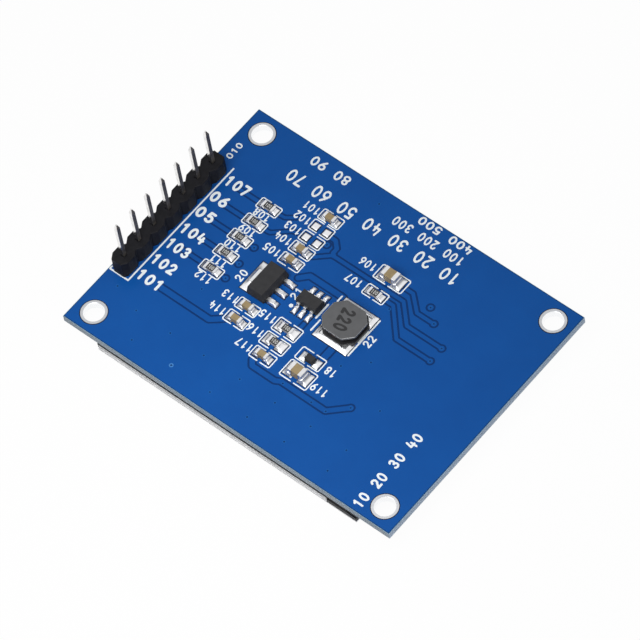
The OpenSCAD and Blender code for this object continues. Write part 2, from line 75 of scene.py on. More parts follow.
def add_node(tree, kind, settings=None, **values):
    """One node with its settings, and with each named or numbered input set or linked."""
    node = tree.nodes.new(kind)
    for key, value in (settings or {}).items():
        setattr(node, key, value)
    for key, value in values.items():
        socket = node.inputs[int(key[2:])] if key.startswith("in") else node.inputs[key.replace("_", " ")]
        if isinstance(value, bpy.types.NodeSocket):
            tree.links.new(value, socket)
        else:
            socket.default_value = (*value, 1.0) if socket.type == "RGBA" else value
    return node


def feed(node, **sources):
    """Links named inputs of a shader or of a group's end to what drives them."""
    for name, source in sources.items():
        node.id_data.links.new(source, node.inputs[name.replace("_", " ")])


def worked(tree, operation, *values):
    """One step of arithmetic."""
    inputs = {f"in{k}": value for k, value in enumerate(values)}
    return add_node(tree, "ShaderNodeMath", {"operation": operation}, **inputs).outputs[0]


def mixed(tree, share, first, second, **settings):
    """A first colour that gives way to a second as the share grows."""
    return add_node(tree, "ShaderNodeMix", {"data_type": "RGBA", **settings}, in0=share, in6=first,
                    in7=second).outputs[2]


def ramp(tree, value, low=0.0, high=1.0, start=0.0, end=1.0, **settings):
    """A value that goes from start to end while another goes from low to high."""
    return add_node(tree, "ShaderNodeMapRange", settings, Value=value, From_Min=low, From_Max=high,
                    To_Min=start, To_Max=end).outputs["Result"]


def place_on(tree):
    """Where each point of a piece lies."""
    return tree.nodes.new("ShaderNodeTexCoord").outputs["Object"]


def parts_of(tree, vector):
    """The X, Y and Z of a place or a direction."""
    return add_node(tree, "ShaderNodeSeparateXYZ", in0=vector).outputs


def facing(tree):
    """The X, Y and Z of the way that the surface faces."""
    return parts_of(tree, tree.nodes.new("ShaderNodeNewGeometry").outputs["Normal"])


def turned_to(tree, axis, least=0.5):
    """1 where the surface faces along an axis, and 0 elsewhere."""
    return worked(tree, "GREATER_THAN", worked(tree, "ABSOLUTE", facing(tree)[axis]), least)


def bands(tree, way, scale, **values):
    """Bands that follow each other in one direction."""
    return add_node(tree, "ShaderNodeTexWave", {"bands_direction": way}, Vector=place_on(tree), Scale=scale,
                    **values).outputs["Fac"]


def group_sockets(group, inputs, outputs):
    """Named sockets on a new node group, and its two end nodes."""
    kinds = {float: "NodeSocketFloat", tuple: "NodeSocketColor", Vector: "NodeSocketVector"}
    for name, value in inputs.items():
        socket = group.interface.new_socket(name, in_out="INPUT", socket_type=kinds[type(value)])
        socket.default_value = value
    for name, kind in outputs.items():
        group.interface.new_socket(name, in_out="OUTPUT", socket_type=kinds[kind])
    return group.nodes.new("NodeGroupInput").outputs, group.nodes.new("NodeGroupOutput")


# Patches of a second colour that fade in and out across a surface
patchy_colour = bpy.data.node_groups.new("patchy_colour", "ShaderNodeTree")
given, end = group_sockets(
    patchy_colour,
    {"Colour": (0.5, 0.5, 0.5, 1.0), "Patch Colour": (0.4, 0.4, 0.4, 1.0), "Patches per Metre": 200.0,
     "Amount": 0.5},
    {"Colour": tuple, "Mask": float})
cloud = add_node(patchy_colour, "ShaderNodeTexNoise", Vector=place_on(patchy_colour), Detail=4.0,
                 Roughness=0.6, Scale=given["Patches per Metre"])
spread = ramp(patchy_colour, cloud.outputs["Fac"], 0.32, 0.68, end=given["Amount"])
feed(end, Colour=mixed(patchy_colour, spread, given["Colour"], given["Patch Colour"]), Mask=spread)

# A fine grain that lifts and lowers a surface by a set height
fine_grain = bpy.data.node_groups.new("fine_grain", "ShaderNodeTree")
given, end = group_sockets(fine_grain, {"Grains per Metre": 4000.0, "Height": 0.00001},
                           {"Normal": Vector, "Mask": float})
speck = add_node(fine_grain, "ShaderNodeTexNoise", Vector=place_on(fine_grain), Detail=3.0, Roughness=0.55,
                 Scale=given["Grains per Metre"])
lift = add_node(fine_grain, "ShaderNodeBump", Strength=1.0, Distance=given["Height"],
                Height=speck.outputs["Fac"])
feed(end, Normal=lift.outputs["Normal"], Mask=speck.outputs["Fac"])


def add_patches(tree, colour, patch_colour, patches, amount):
    """The patchy colour in a material: so many patches to the metre, and how strong they are."""
    return add_node(tree, "ShaderNodeGroup", {"node_tree": patchy_colour}, Colour=colour,
                    Patch_Colour=patch_colour, Patches_per_Metre=patches, Amount=amount).outputs


def add_grain(tree, grains, height):
    """The fine grain in a material: so many grains to the metre, and how high they are."""
    return add_node(tree, "ShaderNodeGroup", {"node_tree": fine_grain}, Grains_per_Metre=grains,
                    Height=height).outputs


# The layers show in the cut edge. The long snapped sides, facing along Y, are darker than the routed ones:
# painted shade
laminate, tree, shader = new_finish("glass_laminate", roughness=0.6, Specular_IOR_Level=0.2)
layers = bands(tree, "Z", 950.0, Distortion=1.2, Detail=2.0, Detail_Scale=3.0)
cut = add_patches(tree, (0.34, 0.42, 0.50), (0.22, 0.29, 0.36), 350.0, 0.9)["Colour"]
layered = mixed(tree, layers, cut, (0.54, 0.66, 0.85))
# Painted shade: the sides facing along Y are multiplied by a darker tint
edge_with_painted_shade = mixed(tree, turned_to(tree, "Y"), layered, (0.66, 0.63, 0.58), blend_type="MULTIPLY")

# A narrow rim of both faces lies outside the mask and is paler than the resin in its openings
bare_rim = 0.1
place = parts_of(tree, place_on(tree))
rims = [worked(tree, "GREATER_THAN", worked(tree, "ABSOLUTE", place[axis]), (reach - bare_rim) * mm)
        for axis, reach in (("X", board_x), ("Y", board_y))]
face_colour = mixed(tree, worked(tree, "MAXIMUM", *rims), (0.006, 0.014, 0.035), (0.16, 0.33, 0.46))
feed(shader, Base_Color=mixed(tree, turned_to(tree, "Z"), edge_with_painted_shade, face_colour),
     Normal=add_grain(tree, 9000.0, 0.000008)["Normal"])


def dress(node, finish):
    """A CAD piece keeps its shape and takes a finish."""
    materials = cad[node].data.materials
    materials.clear()
    materials.append(finish)


dress("circuit_board", laminate)


# ---- Blue mask ---------------------------------------------------------------------------------
# A blue lacquer covers both faces and leaves the pads bare. It follows the copper under it: along
# each track the copper is etched away in two thin lines, where the lacquer sinks and looks darker.

def ring_of(x, y, radius, count=24):
    turns = [2 * math.pi * k / count for k in range(count)]
    return [(x + radius * math.cos(a), y + radius * math.sin(a)) for a in turns]


def box_of(x0, y0, x1, y1):
    return [(x0, y0), (x1, y0), (x1, y1), (x0, y1)]


def box_round(x, y, half_x, half_y):
    return box_of(x - half_x, y - half_y, x + half_x, y + half_y)


def widened(outline, by):
    (x0, y0), _, (x1, y1), _ = outline
    return box_of(x0 - by, y0 - by, x1 + by, y1 + by)


def band_of(points, width):
    """The outlines of a line of even width: one box for each stretch and a disc at each bend."""
    half = width / 2
    outlines = [ring_of(x, y, half, 12) for x, y in points]
    for (x0, y0), (x1, y1) in zip(points, points[1:]):
        length = math.hypot(x1 - x0, y1 - y0)
        sx, sy = -(y1 - y0) / length * half, (x1 - x0) / length * half
        outlines.append([(x0 - sx, y0 - sy), (x1 - sx, y1 - sy), (x1 + sx, y1 + sy), (x0 + sx, y0 + sy)])
    return outlines


def split_plane(outlines):
    """Cuts the plane along all the outlines: corners, triangles, and the outlines round each triangle."""
    corners, loops = [], []
    for outline in outlines:
        loops.append(list(range(len(corners), len(corners) + len(outline))))
        corners += [Vector(corner) for corner in outline]
    points, _, triangles, _, _, inside = delaunay_2d_cdt(corners, [], loops, 0, 1e-5)
    return points, triangles, inside


def raise_plate(mesh, points, triangles, steps, levels):
    """Adds a closed plate to a mesh. Each triangle rises from levels[0] to the level of its own step."""
    made = {}

    def corner(index, step):
        if (index, step) not in made:
            x, y = points[index]
            made[index, step] = mesh.verts.new((x * mm, y * mm, levels[step] * mm))
        return made[index, step]

    step_beside = {}
    for triangle, step in zip(triangles, steps):
        for a, b in zip(triangle, triangle[1:] + triangle[:1]):
            step_beside[a, b] = step
    for triangle, step in zip(triangles, steps):
        if step == 0:
            continue
        mesh.faces.new([corner(i, step) for i in triangle])
        mesh.faces.new([corner(i, 0) for i in reversed(triangle)])
        for a, b in zip(triangle, triangle[1:] + triangle[:1]):
            for k in range(step_beside.get((b, a), 0), step):
                mesh.faces.new([corner(a, k), corner(b, k), corner(b, k + 1), corner(a, k + 1)])


def place_object(name, data):
    """An object with its own name, put into the scene."""
    placed = bpy.data.objects.new(name, data)
    bpy.context.scene.collection.objects.link(placed)
    return placed


def new_piece(name, mesh, slot, *finishes):
    """A mesh becomes a piece of the module, with its finishes and its place on the body."""
    data = bpy.data.meshes.new(name)
    mesh.to_mesh(data)
    mesh.free()
    for finish in finishes:
        data.materials.append(finish)
    piece = place_object(name, data)
    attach(piece, "root")
    return piece


# The pads of a chip part reach past its metal ends by its kind's toe and side
chip_reaches = [(("resistor", "capacitor"), range(1, 7), 0.45, 0.075), (("resistor",), (7, 8), 0.65, 0.275),
                (("capacitor",), (7, 8), 0.68, 0.22)]
chips = [(f"{kind}_{i}_ends", toe, side) for kinds, numbers, toe, side in chip_reaches
         for kind in kinds for i in numbers]
chip_foot = 0.45


def chip_lands(node, toe, side):
    """The outlines of a chip's two feet, made longer by the toe and wider by the side."""
    low, high = box_mm(node)
    return [box_of(low.x - toe, low.y - side, low.x + chip_foot, high.y + side),
            box_of(high.x - chip_foot, low.y - side, high.x + toe, high.y + side)]


def middle_of(node):
    low, high = box_mm(node)
    return (low + high) / 2


pads = [pad for chip in chips for pad in chip_lands(*chip)]

# Two places carry pads and no part
spare_x, spare_rows, spare_out, spare_half = -7.35, (8.65, 6.93), 0.7875, (0.4625, 0.475)
spare_pads = [box_round(spare_x + s * spare_out, y, *spare_half) for y in spare_rows for s in (-1, 1)]

# The pads of the larger parts are set out from each part's middle and given by their half sizes
regulator = middle_of("regulator_body")
tab_start, tab_end, tab_half = 2.45, 0.65, 2.075
tab_pad = box_of(regulator.x - tab_start, regulator.y - tab_half, regulator.x - tab_end,
                 regulator.y + tab_half)
lead_pitch, lead_start, lead_end, lead_half = 1.5, 1.25, 2.65, 0.375
lead_rows = [regulator.y + k * lead_pitch for k in (-1, 0, 1)]
lead_pads = [box_of(regulator.x + lead_start, y - lead_half, regulator.x + lead_end, y + lead_half)
             for y in lead_rows]
converter = middle_of("converter_body")
leg_pitch, leg_out, leg_half = 0.95, 1.515, (0.3, 0.535)
converter_legs = [(s, converter.x + k * leg_pitch) for s in (-1, 1) for k in (-1, 0, 1)]
converter_pads = [box_round(x, converter.y + s * leg_out, *leg_half) for s, x in converter_legs]
inductor = middle_of("inductor_core")
clip_out, clip_half = 2.2, (2.4, 0.775)
inductor_pads = [box_round(inductor.x, inductor.y + s * clip_out, *clip_half) for s in (-1, 1)]
diode = middle_of("diode_body")
end_out, end_half = 0.925, (0.425, 0.6)
diode_pads = [box_round(diode.x + s * end_out, diode.y, *end_half) for s in (-1, 1)]
pads += spare_pads + [tab_pad] + lead_pads + converter_pads + inductor_pads + diode_pads

hole_x, hole_y, hole_sides, hole_ring_r, pin_ring_r = 21.0, 14.55, 48, 1.66, 0.82
holes = [(sx * hole_x, sy * hole_y) for sx in (-1, 1) for sy in (-1, 1)]
pins = [tuple(middle_of(f"header_pin_{i}")[:2]) for i in range(1, 8)]
bare_rings = ([ring_of(x, y, hole_ring_r, hole_sides) for x, y in holes]
              + [ring_of(x, y, pin_ring_r) for x, y in pins])

# Tracks as the points they pass, their width, and whether they end at the ring of a plated hole
track_w, ring_r, moat_w = 0.42, 0.34, 0.22
tracks = [
    ([(5.3, 8.22), (6.25, 8.22), (8.2, 6.52), (10.6, 6.52)], track_w, True),
    ([(-4.1, 6.8), (6.05, 6.8), (8.35, 4.57), (13.3, 4.57)], track_w, True),
    ([(4.5, 5.72), (5.45, 5.72), (8.5, 2.57), (13.3, 2.57)], track_w, True),
    ([(8.95, 7.95), (8.97, 7.95)], track_w, True),
    ([(-2.75, -8.8), (-2.2, -9.45), (1.05, -9.45), (1.65, -9.12), (8.05, -9.12), (10.05, -7.2)], 0.6, True),
    ([(3.55, -2.6), (3.55, -4.1)], 0.84, False),
    ([(-1.02, -1.7), (-1.02, -2.7)], 0.44, False),
    ([(-5.4, 2.3), (-4.5, 3.25), (0.3, 3.25)], 0.66, False),
    ([(-6.0, 8.5), (-5.15, 8.5), (-4.35, 7.75), (-4.35, 7.1), (-4.0, 6.8)], 0.5, False),
    ([(-6.0, 5.2), (-4.3, 6.7), (-4.0, 6.8)], 0.42, False),
    ([(-17.0, -7.68), (-9.95, -7.68), (-8.6, -6.6)], 0.68, False),
    ([(-5.6, 7.5), (-5.58, 7.5)], 0.3, True),
    ([(-12.4, 7.45), (-11.75, 7.5), (-10.6, 8.3)], 0.36, False),
    ([(-12.4, 4.95), (-11.8, 5.0), (-9.9, 6.6), (-9.0, 6.85)], 0.36, False),
]
tracks += [([(-18.6, y), (-15.6, y)], 0.44, False) for y in (7.4, 4.8, 2.4, -0.1, -2.47)]
tracks += [([(-12.45, y), (-11.95, y)], 0.3, True) for y in (2.42, -0.2, -2.52)]

moats, copper = [], []
for points, width, ringed in tracks:
    moats += band_of(points, width + 2 * moat_w)
    copper += band_of(points, width)
    if ringed:
        moats.append(ring_of(*points[-1], ring_r + moat_w))
        copper.append(ring_of(*points[-1], ring_r))

# Small plated holes under the mask leave a dimple each, with a collar round it. One is rubbed pale.
pit_r, collar_r, worn_collar_r = 0.12, 0.2, 0.27
worn_hole = (-9.5, -14.7)
dimples = [points[-1] for points, _, ringed in tracks if ringed]
dimples += [(2.0, -9.2), (6.1, -9.2), (8.1, -9.15), (-17.3, -11.6), (-21.1, -10.4), worn_hole,
            (12.9, -5.6), (-4.3, 15.1), (5.75, -3.7), (8.15, -1.4), (-13.2, -5.15), (5.4, 5.1)]
dimples += [(x, -11.6) for x in (-12.3, -7.4, -2.2, 2.9, 8.0, 13.1)]
dimples += [(x, -14.8) for x in (-15.2, -3.8, 1.6, 6.9, 13.1)]
pits = [ring_of(x, y, pit_r, 10) for x, y in dimples]
collars = [ring_of(*place, worn_collar_r if place == worn_hole else collar_r, 14) for place in dimples]

# The mask stops just short of the board's edge, and the sheet of copper under it a little sooner
mask_edge, pour_edge, opening = 0.05, 0.13, 0.09
whole_board = box_of(-board_x, -board_y, board_x, board_y)
board_outline, pour_outline = widened(whole_board, -mask_edge), widened(whole_board, -pour_edge)


def mask_finish(name, blue, deep_blue, roughness):
    """The lacquer: a clear gloss over blue, with a faint weave from the glass cloth beneath."""
    lacquer, tree, shader = new_finish(name, roughness, Specular_IOR_Level=0.12)
    threads = [bands(tree, way, 700.0, Distortion=0.6, Detail=1.0) for way in ("X", "Y")]
    weave = add_node(tree, "ShaderNodeBump", Strength=0.25, Distance=0.000004,
                     Height=worked(tree, "MULTIPLY", *threads))
    grain = add_grain(tree, 3500.0, 0.000003)
    sheen = ramp(tree, grain["Mask"], 0.3, 0.7, roughness - 0.06, roughness + 0.06)
    feed(shader, Base_Color=add_patches(tree, blue, deep_blue, 160.0, 0.7)["Colour"],
         Normal=weave.outputs["Normal"], Roughness=sheen)
    return lacquer


blue_lacquer = mask_finish("blue_lacquer", (0.0052, 0.089, 0.364), (0.0043, 0.077, 0.326), 0.34)
deep_lacquer = mask_finish("deep_lacquer", (0.0025, 0.038, 0.165), (0.002, 0.031, 0.14), 0.4)
thin_lacquer = mask_finish("thin_lacquer", (0.012, 0.125, 0.42), (0.008, 0.105, 0.37), 0.3)
worn_lacquer = mask_finish("worn_lacquer", (0.065, 0.235, 0.56), (0.04, 0.18, 0.50), 0.3)

# Outlines are told apart by their numbers, so each kind starts where the one before it ends
openings = [widened(pad, opening) for pad in pads] + bare_rings
first_copper = len(openings)
first_pit = first_copper + len(copper)
first_collar = first_pit + len(pits)
first_moat = first_collar + len(collars)
pour = first_moat + len(moats)
points, triangles, inside = split_plane(openings + copper + pits + collars + moats
                                        + [pour_outline, board_outline])


def mask_step(found):
    """0 where the mask is open, 1 where it sinks, 2 on the copper, 3 on the collar of a hole."""
    if any(i < first_copper for i in found):
        return 0
    if any(first_pit <= i < first_collar for i in found):
        return 1
    if any(first_collar <= i < first_moat for i in found):
        return 3
    on_copper = any(first_copper <= i < first_pit for i in found)
    in_moat = any(first_moat <= i < pour for i in found)
    return 1 if pour not in found or in_moat and not on_copper else 2


mask_levels = [board_top + rise for rise in (0.0, 0.008, 0.024, 0.03)]
level_slack, worn_reach = 0.001, 0.4
lacquers = blue_lacquer, deep_lacquer, thin_lacquer, worn_lacquer
mesh = bmesh.new()
raise_plate(mesh, points, triangles, [mask_step(found) for found in inside], mask_levels)
for face in mesh.faces:
    x, y, z = face.calc_center_median() / mm
    if z < mask_levels[1] + level_slack:
        face.material_index = 1
    elif z > mask_levels[2] + level_slack:
        face.material_index = 3 if math.dist((x, y), worn_hole) < worn_reach else 2
new_piece("solder_mask_top", mesh, "blue_mask_board", *lacquers)

# The display side has the same mask up to the panel's tape, open round the pins, holes and tail
tape_low, tape_high = box_mm("mounting_tape")
tail_low, tail_high = box_mm("flex_tail")
tail_gap, tail_foot = 0.1, 2.1
closed = [box_of(tape_low.x, tape_low.y, tape_high.x, tape_high.y),
          box_of(tail_low.x - tail_gap, tail_low.y - tail_gap, tail_low.x + tail_foot,
                 tail_high.y + tail_gap)]
outlines = bare_rings + closed + [board_outline]
points, triangles, inside = split_plane(outlines)
mesh = bmesh.new()
raise_plate(mesh, points, triangles, [1 if found == [len(outlines) - 1] else 0 for found in inside],
            [board_under - 0.024, board_under])
new_piece("solder_mask_under", mesh, "blue_mask_board", blue_lacquer)


# ---- Pads and rings ----------------------------------------------------------------------------
# The bare copper of the pads, rings and hole walls is coated with tin by hot air, which leaves it
# slightly uneven and satin bright. The empty pads carry a low cushion of tin.

def metal_finish(name, colour, dull_colour, roughness, grains, height):
    """Tin, solder or nickel: bright metal with duller patches and a fine uneven surface."""
    metal, tree, shader = new_finish(name, roughness, metallic=1.0)
    tone = add_patches(tree, colour, dull_colour, 1400.0, 0.8)
    feed(shader, Base_Color=tone["Colour"], Normal=add_grain(tree, grains, height)["Normal"],
         Roughness=ramp(tree, tone["Mask"], start=roughness - 0.05, end=roughness + 0.12))
    return metal


dress("plated_pads", metal_finish("tinned_copper", (0.58, 0.59, 0.61), (0.49, 0.50, 0.52), 0.34, 2600.0,
                                  0.000002))


def mottled_finish(name, roughness, colour, patch_colour, patches, amount, grains=None, height=None,
                   **shader_values):
    """One colour with patches of a second, and with a fine grain where the surface has one."""
    finish, tree, shader = new_finish(name, roughness, **shader_values)
    feed(shader, Base_Color=add_patches(tree, colour, patch_colour, patches, amount)["Colour"])
    if grains:
        feed(shader, Normal=add_grain(tree, grains, height)["Normal"])
    return finish


def rim_at(mesh, outline, z):
    """A ring of corners along an outline, at one height."""
    return [mesh.verts.new((x * mm, y * mm, z * mm)) for x, y in outline]


def join_rims(mesh, rims, smooth=False):
    """Faces from each ring of corners to the next, and from the last one back to the first."""
    count = len(rims[0])
    for rim, following in zip(rims, rims[1:] + rims[:1]):
        for k in range(count):
            side = [rim[k], following[k], following[k - count + 1], rim[k - count + 1]]
            mesh.faces.new(side).smooth = smooth


# A thin sleeve of plating lines each mounting hole
plating = mottled_finish("hole_plating", 0.18, (0.96, 0.97, 0.98), (0.90, 0.91, 0.92), patches=1400.0,
                         amount=0.5, metallic=1.0)
sleeve_r, sleeve_t = 1.25, 0.025
sleeve_corners = [(sleeve_r, board_under), (sleeve_r, board_top), (sleeve_r - sleeve_t, board_top),
                  (sleeve_r - sleeve_t, board_under)]
for number, (x, y) in enumerate(holes, 1):
    mesh = bmesh.new()
    join_rims(mesh, [rim_at(mesh, ring_of(x, y, radius, hole_sides), z) for radius, z in sleeve_corners])
    bmesh.ops.recalc_face_normals(mesh, faces=mesh.faces)
    new_piece(f"hole_sleeve_{number}", mesh, "tinned_copper", plating)


# ---- White print -------------------------------------------------------------------------------
# White ink is screened onto the mask: a bracket round each part, lines beside the header and the
# larger parts, and plain numbers where such boards carry words.

ink = mottled_finish("white_ink", 0.55, (0.93, 0.985, 1.0), (0.82, 0.88, 0.92), patches=2500.0, amount=0.5,
                     grains=9000.0, height=0.000006)
print_levels = [mask_levels[2], mask_levels[2] + 0.012]

line_w, corner_cut, bracket_gap = 0.14, 0.13, 0.46
brackets = [(-15.5, y - 0.78, -12.5, y + 0.78) for y in (7.45, 4.95, 2.45, -0.05, -2.55)]
brackets += [(-8.9, low, -5.85, high) for low, high in
             ((9.6, 11.15), (7.95, 9.5), (6.2, 7.75), (4.45, 6.05), (2.6, 4.2))]
brackets += [(-8.98, -4.75, -6.0, -3.2), (-8.95, -6.8, -5.95, -5.1), (-3.75, -4.6, -0.3, -2.65),
             (-3.75, -6.75, -0.3, -4.85), (-3.55, -8.7, -0.45, -7.0), (0.75, -5.9, 4.25, -4.1),
             (0.75, -8.55, 4.65, -6.1), (1.1, 7.25, 5.2, 9.35), (1.4, 4.9, 4.45, 6.5)]
strokes = []
for bracket in brackets:
    (x0, y0), _, (x1, y1), _ = widened(box_of(*bracket), -line_w / 2)
    for end_x, side in ((x0, -1), (x1, 1)):
        gap_x = (x0 + x1) / 2 + side * bracket_gap / 2
        cut_x = end_x - side * corner_cut
        strokes.append(([(gap_x, y1), (cut_x, y1), (end_x, y1 - corner_cut), (end_x, y0 + corner_cut),
                         (cut_x, y0), (gap_x, y0)], line_w))
strokes += [
    ([(-20.62, 9.1), (-20.62, -9.15), (-23.3, -9.15), (-23.3, -8.8)], 0.2),
    ([(-0.45, 1.55), (-0.45, -0.55)], 0.24),
    ([(0.1, 3.3), (0.1, 2.5)], 0.2), ([(0.1, -0.5), (0.1, -2.1)], 0.2),
    ([(5.55, 3.3), (5.55, -2.2)], 0.2),
    ([(5.42, 1.4), (5.42, -0.2)], 0.3),
]
dot_x, dot_y, dot_r = -3.72, -0.95, 0.25
outlines = [outline for points, width in strokes for outline in band_of(points, width)]
outlines.append(ring_of(dot_x, dot_y, dot_r))
points, triangles, inside = split_plane(outlines)
mesh = bmesh.new()
raise_plate(mesh, points, triangles, [1 if found else 0 for found in inside], print_levels)
new_piece("printed_brackets", mesh, "white_print", ink)


def curve_of(x, y, rx, ry, start, end, count=9):
    """Points on part of an ellipse, from one angle to another in degrees."""
    turns = [math.radians(start + (end - start) * k / (count - 1)) for k in range(count)]
    return [(x + rx * math.cos(a), y + ry * math.sin(a)) for a in turns]


# The strokes of each digit, in a cell 0.6 wide and 1 high
cell_w = 0.6
six = [(0.5, 1.0), (0.22, 0.72)] + curve_of(0.3, 0.29, 0.3, 0.29, 160, 520, 19)
digit_strokes = {
    "0": [curve_of(0.3, 0.5, 0.3, 0.5, 90, 450, 25)],
    "1": [[(0.1, 0.8), (0.34, 1.0), (0.34, 0.0)]],
    "2": [curve_of(0.3, 0.71, 0.28, 0.29, 165, -35) + [(0.02, 0.0), (0.6, 0.0)]],
    "3": [curve_of(0.28, 0.75, 0.25, 0.25, 150, -90), curve_of(0.28, 0.26, 0.3, 0.26, 90, -150, 11)],
    "4": [[(0.12, 1.0), (0.0, 0.36), (0.6, 0.36)], [(0.46, 0.66), (0.46, 0.0)]],
    "5": [[(0.56, 1.0), (0.12, 1.0), (0.06, 0.56)] + curve_of(0.28, 0.32, 0.31, 0.32, 120, -145, 12)],
    "6": [six],
    "7": [[(0.0, 1.0), (0.6, 1.0), (0.22, 0.0)]],
    "8": [curve_of(0.3, 0.76, 0.24, 0.24, -90, 270, 19), curve_of(0.3, 0.26, 0.3, 0.26, 90, 450, 21)],
    "9": [[(cell_w - x, 1.0 - y) for x, y in six]],
}
digit_plates = {}


def digit_plate(digit, weight):
    """A digit of height 1 cut into triangles, kept for the next time that it is needed."""
    if (digit, weight) not in digit_plates:
        outlines = [outline for stroke in digit_strokes[digit] for outline in band_of(stroke, weight)]
        points, triangles, inside = split_plane(outlines)
        kept = [triangle for triangle, found in zip(triangles, inside) if found]
        digit_plates[digit, weight] = points, kept
    return digit_plates[digit, weight]


def print_number(mesh, number, x, y, height, width, turn=0, weight=0.22, levels=print_levels):
    """A number centred on a place, turned by some degrees, and spread over the width that it has."""
    least_gap, most_stretch = 0.2, 1.35
    size = height / (1 + weight)
    wide = min(most_stretch, (width - least_gap * size * (len(number) - 1)) / (cell_w + weight) / size
               / len(number))
    step = (width - (cell_w * wide + weight) * size) / max(1, len(number) - 1)
    a = math.radians(turn)
    for k, digit in enumerate(number):
        if digit == " ":
            continue
        points, triangles = digit_plate(digit, weight)
        left = -(step * (len(number) - 1) + cell_w * wide * size) / 2 + k * step
        placed = []
        for px, py in points:
            u, v = left + px * wide * size, (py - 0.5) * size
            placed.append((x + u * math.cos(a) - v * math.sin(a), y + u * math.sin(a) + v * math.cos(a)))
        raise_plate(mesh, placed, triangles, [1] * len(triangles), levels)


# Beside the pins: the place along the row and the width of each number, which all start at one line
mesh = bmesh.new()
pin_rows = [(-7.65, 3.5), (-5.15, 3.3), (-2.6, 3.2), (-0.15, 3.4), (2.55, 2.4), (5.05, 2.3), (7.6, 3.3)]
pin_text_x = -20.4
for k, (y, width) in enumerate(pin_rows, 1):
    number = f"{100 + k}" if width > 3 else f"{k:02d}"
    print_number(mesh, number, pin_text_x + width / 2, y, 1.5, width, weight=0.28)

# Beside the parts, counted up from 101
part_rows = [(-10.1, 10.25), (-10.1, 8.65), (-10.1, 7.0), (-10.1, 5.3), (-10.15, 3.4), (-0.25, 8.25),
             (-0.15, 5.65), (-14.05, 6.25), (-14.05, 3.72), (-14.05, 1.22), (-14.05, -1.3), (-14.05, -3.85),
             (-9.95, -4.0), (-10.15, -6.0), (-4.9, -3.55), (-4.85, -5.75), (-4.65, -7.9)]
for k, (x, y) in enumerate(part_rows, 101):
    print_number(mesh, str(k), x, y, 1.08, 2.15, turn=180)

# Then the shorter numbers and the long rows: place, height, width, turn and the weight of the stroke
number_rows = [
    ("18", 5.35, -5.0, 1.08, 1.35, 180), ("119", 5.8, -7.5, 1.08, 2.15, 180),
    ("20", -10.75, -1.2, 1.05, 1.5, 90), ("21", -4.25, 0.6, 0.95, 1.5, 90),
    ("22", 6.3, 0.55, 1.05, 1.5, 90), ("010", -22.1, 11.0, 0.85, 2.3, 90),
    ("10 20 30 40 50 60 70", -3.0, 12.3, 1.7, 24.4, 180, 0.2), ("100 200 300", 3.25, 14.5, 1.25, 9.9, 180),
    ("400 500", 4.35, 16.2, 1.1, 7.4, 180), ("80 90", -11.55, 15.3, 1.3, 5.4, 180),
    ("10 20 30 40", 18.4, -10.9, 1.35, 11.0, 90, 0.25),
]
for row in number_rows:
    print_number(mesh, *row)
new_piece("printed_numbers", mesh, "white_print", ink)


# ---- Solder ------------------------------------------------------------------------------------
# Paste printed on the pads melts in the oven and climbs the metal of each part in a hollow curve.
# The pins are soldered by hand, each in a cone on the display side.

solder = metal_finish("bright_solder", (0.88, 0.88, 0.89), (0.76, 0.76, 0.78), 0.3, 1200.0, 0.000002)
pad_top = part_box("plated_pads")[1].z / mm
uneven = random.Random(7)


def stops(low, high, count):
    return [low + (high - low) * k / count for k in range(count + 1)]


def crown(x, y, pad, squareness):
    """The shape of a pillow on a pad: 1 in its middle and 0 along its edge."""
    (x0, y0), _, (x1, y1), _ = pad
    u, v = abs(2 * (x - x0) / (x1 - x0) - 1), abs(2 * (y - y0) / (y1 - y0) - 1)
    return math.sqrt(max(0.0, (1 - u ** squareness) * (1 - v ** squareness)))


